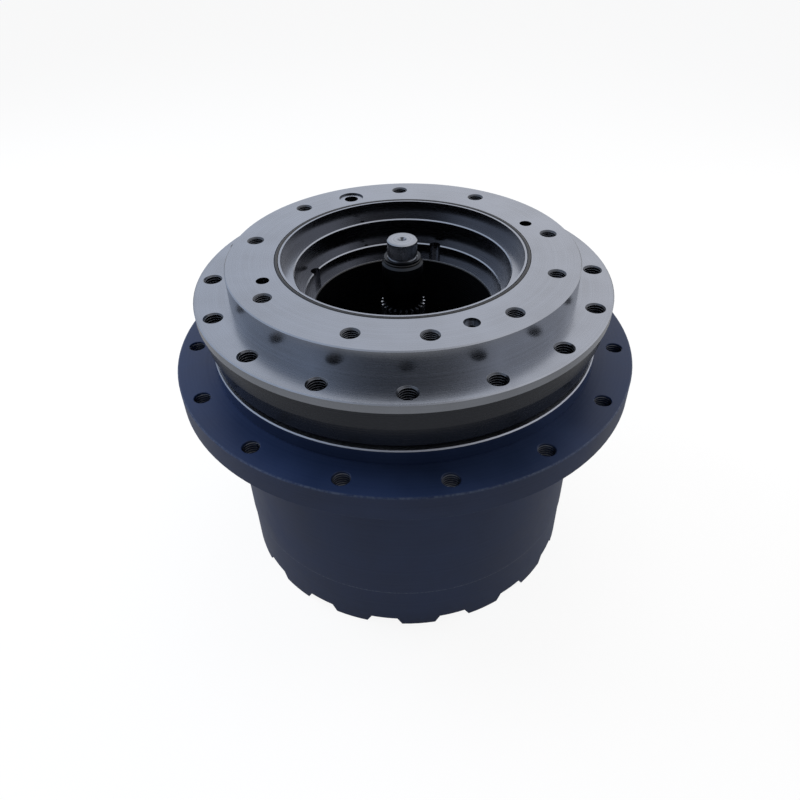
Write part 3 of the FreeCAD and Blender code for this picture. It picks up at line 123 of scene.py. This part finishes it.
# %% Camera
camera_place = Vector((-0.00681, -0.58266, 0.6289))
camera_heading = math.radians(0.117)
camera_pitch = math.radians(39.16)
camera_roll = math.radians(-1.42)

level_out = Vector((math.sin(camera_heading), math.cos(camera_heading), 0))
look = level_out * math.cos(camera_pitch) - Vector((0, 0, math.sin(camera_pitch)))
side = Vector((math.cos(camera_heading), -math.sin(camera_heading), 0))
rise = side.cross(look)
across = side * math.cos(camera_roll) + rise * math.sin(camera_roll)
upward = rise * math.cos(camera_roll) - side * math.sin(camera_roll)

camera_data = bpy.data.cameras.new("camera")
camera_data.sensor_width = 36
camera_data.lens = 30.43
camera_data.clip_start = 0.01
camera = bpy.data.objects.new("camera", camera_data)
camera.matrix_world = Matrix.Translation(camera_place) @ Matrix((across, upward, -look)).transposed().to_4x4()
scene.collection.objects.link(camera)
scene.camera = camera
print("camera %.0f mm from the axis and %.0f mm up" % (camera_place.xy.length / mm, camera_place.z / mm))

# %% [markdown]
# ## Nodes without repetition
# Every material and every Geometry Nodes tree is made of nodes, each with some settings and some inputs.  One
# small function covers them all: an input is given either a plain value or the socket that feeds it.

# %% Helpers for nodes and colours
def add(tree, kind, inputs=None, **settings):
    """Adds a node to a tree.  Inputs are plain values or sockets, by name or by number."""
    node = tree.nodes.new(kind)
    for name, value in settings.items():
        setattr(node, name, value)
    for key, value in (inputs or {}).items():
        if isinstance(value, bpy.types.NodeSocket):
            tree.links.new(value, node.inputs[key])
        else:
            node.inputs[key].default_value = value
    return node


def maths(tree, operation, first, second=0.0):
    """Result of one operation on two sockets or numbers."""
    return add(tree, "ShaderNodeMath", {0: first, 1: second}, operation=operation).outputs[0]


def inverse(tree, value):
    """One minus a value."""
    return maths(tree, "SUBTRACT", 1.0, value)


def times(tree, *factors):
    """Product of several sockets or numbers."""
    product = factors[0]
    for factor in factors[1:]:
        product = maths(tree, "MULTIPLY", product, factor)
    return product


def ramp(tree, value, start, end, low=0.0, high=1.0, **settings):
    """A value stretched from one range to another, and held at both ends."""
    return add(tree, "ShaderNodeMapRange", {"Value": value, "From Min": start, "From Max": end,
                                            "To Min": low, "To Max": high}, **settings).outputs[0]


def blended(tree, factor, first, second):
    """Mixture of two colours."""
    mix = add(tree, "ShaderNodeMix", {"Factor": factor, 6: first, 7: second}, data_type="RGBA")
    return mix.outputs[2]


def colour(code):
    """Linear colour of an sRGB hex code."""
    parts = [int(code[place:place + 2], 16) / 255 for place in (1, 3, 5)]
    linear = [part / 12.92 if part <= 0.04045 else ((part + 0.055) / 1.055) ** 2.4 for part in parts]
    return (*linear, 1.0)


def new_material(name):
    """An empty material and its tree."""
    material = bpy.data.materials.new(name)
    material.use_nodes = True
    material.node_tree.nodes.clear()
    return material, material.node_tree


print("white is", colour("#ffffff"), "and mid grey is", [round(part, 3) for part in colour("#808080")])

# %% [markdown]
# ## World
# A product is shown on white.  If the world simply shone white, it would also flood the paint with light, so
# it is white only to the rays that see it, and much weaker to those that light matt surfaces.  Light Path
# tells the rays apart.  A real studio is white behind the product and dimmer on the side where one stands to
# look at it, and bare metal needs that: a turned drum that mirrors white all round looks like plaster.  So
# the rays that bounce off metal see the white fade towards -Y, where the front of the room is, and turn a
# little blue towards -X, as by a window.

# %% World
world = bpy.data.worlds.new("studio")
world.use_nodes = True
scene.world = world
tree = world.node_tree
tree.nodes.clear()
sky_light = 0.32
front_of_room = 0.16
path = add(tree, "ShaderNodeLightPath").outputs
direction = add(tree, "ShaderNodeSeparateXYZ", {0: add(tree, "ShaderNodeTexCoord").outputs["Generated"]}).outputs
room = ramp(tree, direction[1], -0.80, -0.35, front_of_room, 1.0, interpolation_type="SMOOTHSTEP")
mirrored = maths(tree, "MAXIMUM", path["Is Glossy Ray"], path["Is Transmission Ray"])
strength = add(tree, "ShaderNodeMix", {"Factor": mirrored, "A": sky_light, "B": room})
strength = add(tree, "ShaderNodeMix", {"Factor": path["Is Camera Ray"], "A": strength.outputs[0], "B": 1.0})
window = blended(tree, ramp(tree, direction[0], -0.7, 0.3), colour("#d3dff2"), colour("#fbfbff"))
seen_colour = blended(tree, path["Is Camera Ray"], window, colour("#ffffff"))
background = add(tree, "ShaderNodeBackground", {"Color": seen_colour, "Strength": strength.outputs[0]})
add(tree, "ShaderNodeOutputWorld", {"Surface": background.outputs[0]})
print("sky lights matt surfaces at", sky_light, "and the front of the room is", front_of_room)

# %% [markdown]
# ## Floor
# The floor is one large sheet of white paper.  Lit paper alone comes out grey at the far edge, and a glowing
# one loses the shadow that seats the drive, so the rays that see it get a mixture: mostly white, with enough
# of the lit paper to keep a soft shadow.  Paint and steel mirror it at a third of that, or the lower walls of
# the hub would turn pale.

# %% Floor
floor_half = 9.0
floor_mesh = bpy.data.meshes.new("floor")
floor_corners = [(x * floor_half, y * floor_half, cad_box[0][2]) for x, y in ((-1, -1), (1, -1), (1, 1), (-1, 1))]
floor_mesh.from_pydata(floor_corners, [], [(0, 1, 2, 3)])
floor = bpy.data.objects.new("floor", floor_mesh)
scene.collection.objects.link(floor)

paper, tree = new_material("white_paper_floor")
path = add(tree, "ShaderNodeLightPath").outputs
mirrored = maths(tree, "MAXIMUM", path["Is Glossy Ray"], path["Is Transmission Ray"])
glow_share = times(tree, maths(tree, "MAXIMUM", path["Is Camera Ray"], mirrored), 0.87)
glow_strength = ramp(tree, mirrored, 0.0, 1.0, 1.04, 0.30)
matt = add(tree, "ShaderNodeBsdfDiffuse", {"Color": colour("#f4f4f4")})
glow = add(tree, "ShaderNodeEmission", {"Color": colour("#ffffff"), "Strength": glow_strength})
mixed = add(tree, "ShaderNodeMixShader", {0: glow_share, 1: matt.outputs[0], 2: glow.outputs[0]})
add(tree, "ShaderNodeOutputMaterial", {"Surface": mixed.outputs[0]})
floor_mesh.materials.append(paper)
print("floor at", round(cad_box[0][2] / mm, 2), "mm")

# %% [markdown]
# ## Lamps
# Large lamps give soft light.  The key stands high behind the left shoulder of the drive, where it skims the
# turned faces and leaves the front of the hub in shade.  A weaker one from the right models the edge there.
# Bare metal would mirror each lamp as a hard white bar, so metal sees only the room and never the lamps.

# %% Lamps
def area_lamp(name, place, size, power, tint):
    """A square lamp that points at the middle of the drive."""
    data = bpy.data.lights.new(name, "AREA")
    data.shape = "SQUARE"
    data.size = size
    data.energy = power
    data.color = colour(tint)[:3]
    lamp = bpy.data.objects.new(name, data)
    target = Vector((0, 0, flange_face))
    lamp.location = Vector(place)
    lamp.rotation_euler = (target - lamp.location).to_track_quat("-Z", "Y").to_euler()
    lamp.visible_glossy = False
    scene.collection.objects.link(lamp)
    return lamp


lamps = [
    area_lamp("key_left", (-1.3, 0.5, 1.3), 1.0, 22, "#e6eeff"),
    area_lamp("rim_right", (1.4, 0.4, 0.8), 0.8, 9, "#fff8f0"),
    area_lamp("top_soft", (0.1, 0.5, 1.9), 1.2, 10, "#ffffff"),
]
print(len(lamps), "lamps,", sum(lamp.data.energy for lamp in lamps), "W")

# %% [markdown]
# ## Turned surfaces
# A lathe leaves fine rings: round the axis on a face, and along the height of a wall.  A texture for each
# surface would be tedious.  The sum of the radius and the height works for both, because on a face only the
# radius changes and on a wall only the height.  Noise along that one number gives rings everywhere.

# %% Coordinates of a turned part
def turned_coordinates(tree):
    """Sockets for a point, its radius, its height and the sum of the two, in metres."""
    place = add(tree, "ShaderNodeTexCoord").outputs["Object"]
    parts = add(tree, "ShaderNodeSeparateXYZ", {0: place})
    flat = add(tree, "ShaderNodeCombineXYZ", {0: parts.outputs[0], 1: parts.outputs[1]})
    radius = add(tree, "ShaderNodeVectorMath", {0: flat.outputs[0]}, operation="LENGTH").outputs["Value"]
    height = parts.outputs[2]
    along = maths(tree, "ADD", radius, height)
    return place, radius, height, along


def above(tree, value, level, blur=0.1 * mm):
    """1 where a value is over a level and 0 below it, with a short ramp between."""
    return ramp(tree, value, level - blur, level + blur)


def near_band(tree, value, middle, half):
    """1 within a distance of a level, 0 outside it."""
    return times(tree, above(tree, value, middle - half), inverse(tree, above(tree, value, middle + half)))


def near(tree, value, level, reach):
    """1 at a level, falling to 0 at a distance from it."""
    distance = maths(tree, "ABSOLUTE", maths(tree, "SUBTRACT", value, level))
    return ramp(tree, distance, 0.0, reach, 1.0, 0.0)


def lathe_rings(tree, along, pitch, roughness=0.55):
    """Noise along one number: rings about one pitch apart."""
    rings = add(tree, "ShaderNodeTexNoise", {"W": along, "Scale": 1.0 / pitch, "Detail": 3.0,
                                             "Roughness": roughness}, noise_dimensions="1D")
    return rings.outputs["Fac"]


def cloud(tree, place, grain, detail=3.0):
    """Plain noise in space, with patches about one grain wide."""
    noise = add(tree, "ShaderNodeTexNoise", {"Vector": place, "Scale": 1.0 / grain, "Detail": detail})
    return noise.outputs["Fac"]


def spread(tree, value, low, high, start=0.3, end=0.7):
    """A noise value stretched from its usual range to another."""
    return ramp(tree, value, start, end, low, high)


print("helpers for turned finishes are ready")

# %% [markdown]
# ## The spindle: turned steel above, primer below
# The spindle is one casting.  The faces that the motor and the track frame bolt to are machined and left bare,
# and the necks below the frame flange are painted with the hub's primer.  The drilled passage at the bottom
# of the bore is coloured near black: painted shade for the deep cavity.  The upright walls of the bore and of
# the tapped holes are darkened as painted shade too.  One material carries all of it, because metal, paint and
# the painted shade differ here only in colour, metalness and roughness, and each of these is mixed by radius
# and height.

# %% Material of the spindle
def tapped_holes(tree, radius, height, circles):
    """1 on the walls and mouths of holes that go down from a face, by circle, face level and depth."""
    slope = add(tree, "ShaderNodeSeparateXYZ", {0: add(tree, "ShaderNodeNewGeometry").outputs["True Normal"]})
    wall = inverse(tree, above(tree, slope.outputs[2], 0.9, 0.05))
    holes = 0.0
    for circle, face, depth in circles:
        hole = times(tree, near_band(tree, radius, circle, 12 * mm), inverse(tree, above(tree, height, face)),
                     above(tree, height, face - depth))
        holes = maths(tree, "MAXIMUM", hole, holes)
    return times(tree, holes, wall)


def make_spindle_material():
    """Turned ductile iron: satin, with painted necks and a passage coloured near black as painted shade."""
    material, tree = new_material("turned_spindle_steel")
    place, radius, height, along = turned_coordinates(tree)
    fine = lathe_rings(tree, along, 1.1 * mm)
    broad = lathe_rings(tree, along, 6.0 * mm)
    film = cloud(tree, place, 45 * mm)

    # Bare steel: cool grey with faint rings, and patches where an oil film has dried.
    steel = blended(tree, spread(tree, fine, 0.0, 1.0), colour("#9fa3ab"), colour("#a7abb3"))
    steel = blended(tree, times(tree, spread(tree, film, 0.0, 0.4), spread(tree, broad, 0.4, 1.0)),
                    steel, colour("#8f9093"))

    # The upright walls inside the bore and the walls of the tapped holes are darkened: painted shade in these
    # recesses.
    upright = inverse(tree, above(tree, add(tree, "ShaderNodeSeparateXYZ", {
        0: add(tree, "ShaderNodeNewGeometry").outputs["True Normal"]}).outputs[2], 0.35, 0.1))
    in_bore = inverse(tree, above(tree, radius, motor_circle - 14 * mm, 1 * mm))
    steel = blended(tree, times(tree, upright, in_bore, 0.75), steel, colour("#54545a"))
    holes = tapped_holes(tree, radius, height, (
        (motor_circle, motor_face - 0.05 * mm, 60 * mm),
        (frame_circle, frame_face - 0.05 * mm, frame_flange_thick + 30 * mm)))
    steel = blended(tree, times(tree, holes, 0.8), steel, colour("#303236"))

    # Painted where it is below the frame flange and outside the bore, and near black deep inside: painted shade of
    # the cavity.
    painted = times(tree, inverse(tree, above(tree, height, frame_flange_under)),
                    above(tree, radius, neck_radius, 1 * mm))
    deep_bore_shade = times(tree, inverse(tree, above(tree, height, passage_level - 0.1 * mm)),
                 inverse(tree, above(tree, radius, passage_radius, 1 * mm)))
    finish = blended(tree, painted, steel, colour("#20242c"))
    finish = blended(tree, deep_bore_shade, finish, colour("#0b0c0e"))
    metal = times(tree, inverse(tree, painted), inverse(tree, deep_bore_shade))
    rough = maths(tree, "ADD", spread(tree, fine, 0.22, 0.28), spread(tree, film, -0.03, 0.05))
    bump = add(tree, "ShaderNodeBump", {"Strength": 0.12, "Distance": 0.02 * mm, "Height": fine})
    tangent = add(tree, "ShaderNodeTangent", direction_type="RADIAL", axis="Z")
    shader = add(tree, "ShaderNodeBsdfPrincipled", {
        "Base Color": finish, "Metallic": metal, "Roughness": rough, "Anisotropic": 0.35,
        "Normal": bump.outputs[0], "Tangent": tangent.outputs[0]})
    add(tree, "ShaderNodeOutputMaterial", {"Surface": shader.outputs[0]})
    return material


spindle_material = make_spindle_material()
print(spindle_material.name, "has", len(spindle_material.node_tree.nodes), "nodes")

# %% [markdown]
# ## The hub and the end cover: slate primer
# The turning half is sprayed with a slate-blue machine primer.  Sprayed paint is not flat: it has a fine
# orange peel, a slight change of tone where it is thicker, and dull dust on top.  The faces under it were
# turned, so broad rings still show through.  The seal boss is machined after painting and stays bright.

# %% Material of the hub and the end cover
def make_primer():
    """Sprayed machine primer on turned iron: smooth, half gloss, worn through on sharp edges."""
    material, tree = new_material("slate_machine_primer")
    place, radius, height, along = turned_coordinates(tree)
    tone = cloud(tree, place, 60 * mm)
    peel = cloud(tree, place, 1.6 * mm, 1.0)
    rings = lathe_rings(tree, along, 3.0 * mm)
    grit = cloud(tree, place, 2.5 * mm, 6.0)

    paint = blended(tree, spread(tree, tone, 0.0, 1.0), colour("#1b2946"), colour("#233252"))
    paint = blended(tree, spread(tree, rings, 0.0, 0.25), paint, colour("#2f3c5a"))

    # Edges rub bright: the flange's two rims, the boss and the foot of the barrel.
    edge = 0.0
    corners = ((hub_flange_radius, flange_face), (hub_flange_radius, flange_under),
               (barrel_radius, seam_level + 1 * mm), (barrel_radius, 0.0))
    for corner_radius, corner_level in corners:
        corner = times(tree, near(tree, radius, corner_radius, 1.6 * mm),
                       near(tree, height, corner_level, 1.6 * mm))
        edge = maths(tree, "MAXIMUM", corner, edge)
    worn = times(tree, edge, spread(tree, grit, 0.0, 1.0, 0.35, 0.65))
    finish = blended(tree, times(tree, worn, 0.6), paint, colour("#77808f"))

    machined = above(tree, height, boss_top - seal_boss_step)
    finish = blended(tree, machined, finish, colour("#a9adb6"))
    rough = maths(tree, "ADD", spread(tree, tone, 0.34, 0.44), times(tree, grit, 0.05))
    height_map = maths(tree, "ADD", times(tree, peel, 0.5), times(tree, rings, 0.5))
    bump = add(tree, "ShaderNodeBump", {"Strength": 0.25, "Distance": 0.08 * mm,
                                        "Height": height_map})
    shader = add(tree, "ShaderNodeBsdfPrincipled", {
        "Base Color": finish, "Metallic": machined, "Roughness": rough, "Specular IOR Level": 0.3,
        "Normal": bump.outputs[0]})
    add(tree, "ShaderNodeOutputMaterial", {"Surface": shader.outputs[0]})
    return material


primer = make_primer()
print(primer.name, "has", len(primer.node_tree.nodes), "nodes")

# %% [markdown]
# ## Plain metals
# Shafts, gears, bearings and bolts differ by colour, by how rough they are and by how their surface was cut.
# Each one is turned about its own axis or ground, which the same rings describe well enough, so one function
# takes the facts that differ.

# %% Materials of the shafts, gears, bearings and fasteners
def make_metal(name, dark, light, roughness, pitch, depth, anisotropy=0.0, highlighted_part=None):
    """A bare metal between two tones, with cut rings of one pitch and depth, and a part coloured lighter as a
    painted highlight.
    """
    material, tree = new_material(name)
    place, radius, height, along = turned_coordinates(tree)
    rings = lathe_rings(tree, along, pitch)
    patches = cloud(tree, place, 14 * mm)
    tone = maths(tree, "ADD", spread(tree, rings, 0.0, 0.7), spread(tree, patches, 0.0, 0.3))
    finish = blended(tree, tone, colour(dark), colour(light))
    # A painted highlight: the marked part is coloured lighter.
    if highlighted_part:
        finish = blended(tree, highlighted_part(tree, radius, height), finish, colour("#c9ccd2"))
    rough = spread(tree, patches, roughness - 0.05, roughness + 0.05)
    bump = add(tree, "ShaderNodeBump", {"Strength": 0.3, "Distance": depth, "Height": rings})
    shader = add(tree, "ShaderNodeBsdfPrincipled", {
        "Base Color": finish, "Metallic": 1.0, "Roughness": rough, "Anisotropic": anisotropy,
        "Normal": bump.outputs[0]})
    add(tree, "ShaderNodeOutputMaterial", {"Surface": shader.outputs[0]})
    return material


def spline_tooth_highlight(tree, radius, height):
    """1 on the teeth of the sleeve's spline, which are coloured lighter as a painted highlight for their glints.
    """
    return above(tree, radius, spline_foot_radius + 0.3 * mm)


metals = {
    "ground_shaft_steel": make_metal("ground_shaft_steel", "#8f9298", "#b4b7bd", 0.24, 0.9 * mm, 0.01 * mm, 0.4),
    "phosphated_sleeve": make_metal("phosphated_sleeve", "#26282b", "#3b3e43", 0.34, 1.5 * mm, 0.02 * mm, 0.4,
                                    spline_tooth_highlight),
    "ground_bearing_steel": make_metal("ground_bearing_steel", "#a3a6ac", "#c0c3c9", 0.18, 1.0 * mm, 0.01 * mm),
    "hobbed_gear_steel": make_metal("hobbed_gear_steel", "#6f7176", "#8b8e94", 0.34, 1.2 * mm, 0.02 * mm),
    "machined_ductile_iron": make_metal("machined_ductile_iron", "#4f5154", "#6a6c70", 0.45, 1.6 * mm, 0.03 * mm),
    "machined_brass": make_metal("machined_brass", "#a9853c", "#cba85a", 0.28, 1.2 * mm, 0.02 * mm),
    "annealed_copper": make_metal("annealed_copper", "#a5664a", "#c98a68", 0.38, 1.0 * mm, 0.01 * mm),
    "black_oxide_steel": make_metal("black_oxide_steel", "#2c2e31", "#43464a", 0.40, 1.2 * mm, 0.02 * mm),
}
print(len(metals), "metals:", ", ".join(metals))

# %% [markdown]
# ## Rubber and gasket
# The O-rings are moulded nitrile rubber, wiped with grease, and the joint under the hub is sealed by a thin
# fibre gasket.  Neither is metal, so what tells them apart is how they scatter light: rubber is almost black
# with a soft sheen, and fibre is dull and speckled.

# %% Materials of the seals
def make_dull(name, dark, light, roughness, grain, specular):
    """A soft non-metal between two tones, speckled at one grain."""
    material, tree = new_material(name)
    place = add(tree, "ShaderNodeTexCoord").outputs["Object"]
    speckle = cloud(tree, place, grain, 5.0)
    finish = blended(tree, spread(tree, speckle, 0.0, 1.0), colour(dark), colour(light))
    bump = add(tree, "ShaderNodeBump", {"Strength": 0.3, "Distance": 0.05 * mm, "Height": speckle})
    shader = add(tree, "ShaderNodeBsdfPrincipled", {
        "Base Color": finish, "Roughness": roughness, "Specular IOR Level": specular,
        "Normal": bump.outputs[0]})
    add(tree, "ShaderNodeOutputMaterial", {"Surface": shader.outputs[0]})
    return material


rubber = make_dull("nitrile_rubber", "#0c0c0d", "#17181a", 0.38, 1.5 * mm, 0.5)
gasket_fibre = make_dull("gasket_fibre", "#0d0f13", "#1b1f26", 0.8, 0.8 * mm, 0.2)
print(rubber.name, "and", gasket_fibre.name)

# %% [markdown]
# ## Giving each node its finish
# The record names a material slot for every CAD node.  The finish follows from that name, apart from the
# spline sleeve, which is phosphated while the shaft that it sits on is ground.

# %% Assign the materials
finish_of_slot = {
    "machined_steel": spindle_material,
    "hub_paint": primer,
    "bearing_steel": metals["ground_bearing_steel"],
    "gear_steel": metals["hobbed_gear_steel"],
    "cast_carrier": metals["machined_ductile_iron"],
    "cage_brass": metals["machined_brass"],
    "copper": metals["annealed_copper"],
    "black_rubber": rubber,
    "gasket": gasket_fibre,
    "bolt_steel": metals["black_oxide_steel"],
    "shaft_steel": metals["ground_shaft_steel"],
}
finish_of_node = {"input_sleeve": metals["phosphated_sleeve"]}
slots = {part["node"]: part["material_slot"] for part in record["subparts"]}
for node, piece in frame["nodes"].items():
    finish = finish_of_node.get(node, finish_of_slot[slots[node]])
    piece.data.materials.clear()
    piece.data.materials.append(finish)
print(len(frame["nodes"]), "CAD nodes have", len(set(slots.values())) + len(finish_of_node), "finishes")

# %% [markdown]
# ## Threads
# Forty-one tapped holes face the eye, and each shows a turn or two of its thread.  A modelled groove in every
# hole would be heavy, and a texture would look flat where the wall turns away.  Geometry Nodes wind one thin
# ridge and copy it to every hole: a spiral, a three-sided profile along it, and a point for each hole.

# %% Geometry Nodes tree for thread turns
def make_thread_tree():
    """Winds a ridge down from every point of a mesh."""
    tree = bpy.data.node_groups.new("thread_turns", "GeometryNodeTree")
    tree.interface.new_socket("Geometry", in_out="INPUT", socket_type="NodeSocketGeometry")
    for name in ("Hole Radius", "Pitch", "Depth", "Ridge"):
        tree.interface.new_socket(name, in_out="INPUT", socket_type="NodeSocketFloat")
    tree.interface.new_socket("Finish", in_out="INPUT", socket_type="NodeSocketMaterial")
    tree.interface.new_socket("Geometry", in_out="OUTPUT", socket_type="NodeSocketGeometry")
    given = add(tree, "NodeGroupInput").outputs
    turns = add(tree, "ShaderNodeMath", {0: given["Depth"], 1: given["Pitch"]}, operation="DIVIDE")
    spiral = add(tree, "GeometryNodeCurveSpiral", {
        "Resolution": 24, "Rotations": turns.outputs[0], "Start Radius": given["Hole Radius"],
        "End Radius": given["Hole Radius"], "Height": given["Depth"]})
    profile = add(tree, "GeometryNodeCurvePrimitiveCircle", {"Resolution": 3, "Radius": given["Ridge"]})
    ridge = add(tree, "GeometryNodeCurveToMesh", {"Curve": spiral.outputs[0],
                                                  "Profile Curve": profile.outputs[0]})
    copies = add(tree, "GeometryNodeInstanceOnPoints", {"Points": given["Geometry"], "Instance": ridge.outputs[0]})
    whole = add(tree, "GeometryNodeRealizeInstances", {0: copies.outputs[0]})
    finished = add(tree, "GeometryNodeSetMaterial", {"Geometry": whole.outputs[0], "Material": given["Finish"]})
    add(tree, "NodeGroupOutput", {0: finished.outputs[0]})
    return tree


thread_tree = make_thread_tree()
print(thread_tree.name, "has", len(thread_tree.nodes), "nodes")


# %% Wind the threads of each group of holes
def wind_threads(name, body, foots, hole_radius, pitch, depth):
    """One mesh with a thread ridge in each hole, which starts at the hole's foot."""
    seed_mesh = bpy.data.meshes.new(name + "_foots")
    seed_mesh.from_pydata([Vector(foot) for foot in foots], [], [])
    seed = bpy.data.objects.new(name + "_foots", seed_mesh)
    scene.collection.objects.link(seed)
    modifier = seed.modifiers.new("threads", "NODES")
    modifier.node_group = thread_tree
    values = {"Hole Radius": hole_radius, "Pitch": pitch, "Depth": depth, "Ridge": 0.45 * mm,
              "Finish": metals["hobbed_gear_steel"]}
    for item in thread_tree.interface.items_tree:
        if item.in_out == "INPUT" and item.name in values:
            modifier[item.identifier] = values[item.name]
    bpy.context.view_layer.update()
    graph = bpy.context.evaluated_depsgraph_get()
    mesh = bpy.data.meshes.new_from_object(seed.evaluated_get(graph))
    mesh.name = name
    piece = bpy.data.objects.new(name, mesh)
    scene.collection.objects.link(piece)
    bpy.data.objects.remove(seed)
    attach(piece, body)
    return piece


def circle_places(count, radius, level, first=0.0):
    """Points evenly round the axis."""
    turns = [first + 2 * math.pi * index / count for index in range(count)]
    return [(radius * math.cos(turn), radius * math.sin(turn), level) for turn in turns]


mouth_chamfer = 1.3 * mm
frame_depth = 22 * mm
motor_depth = 28 * mm
sprocket_first = math.radians(-81)
frame_threads = wind_threads(
    "frame_hole_threads", "spindle",
    circle_places(frame_bolts["count"], frame_circle, frame_face - mouth_chamfer - frame_depth),
    frame_bolts["hole_r_mm"] * mm, 2.5 * mm, frame_depth)
motor_threads = wind_threads(
    "motor_hole_threads", "spindle",
    [(*mount["pos_m"][:2], motor_face - mouth_chamfer - motor_depth) for mount in motor_bolts],
    motor_bolts[0]["dims"]["r_mm"] * mm, 2.0 * mm, motor_depth)
sprocket_threads = wind_threads(
    "sprocket_hole_threads", "hub",
    circle_places(sprocket_bolts["count"], sprocket_circle, flange_under + 1 * mm, sprocket_first),
    sprocket_bolts["hole_r_mm"] * mm, 2.5 * mm, hub_flange_thick - 2 * mm)
for piece in (frame_threads, motor_threads, sprocket_threads):
    print(piece.name, len(piece.data.polygons), "faces")

# %% [markdown]
# The last cell brings the scene up to date.

# %% Finish
bpy.context.view_layer.update()
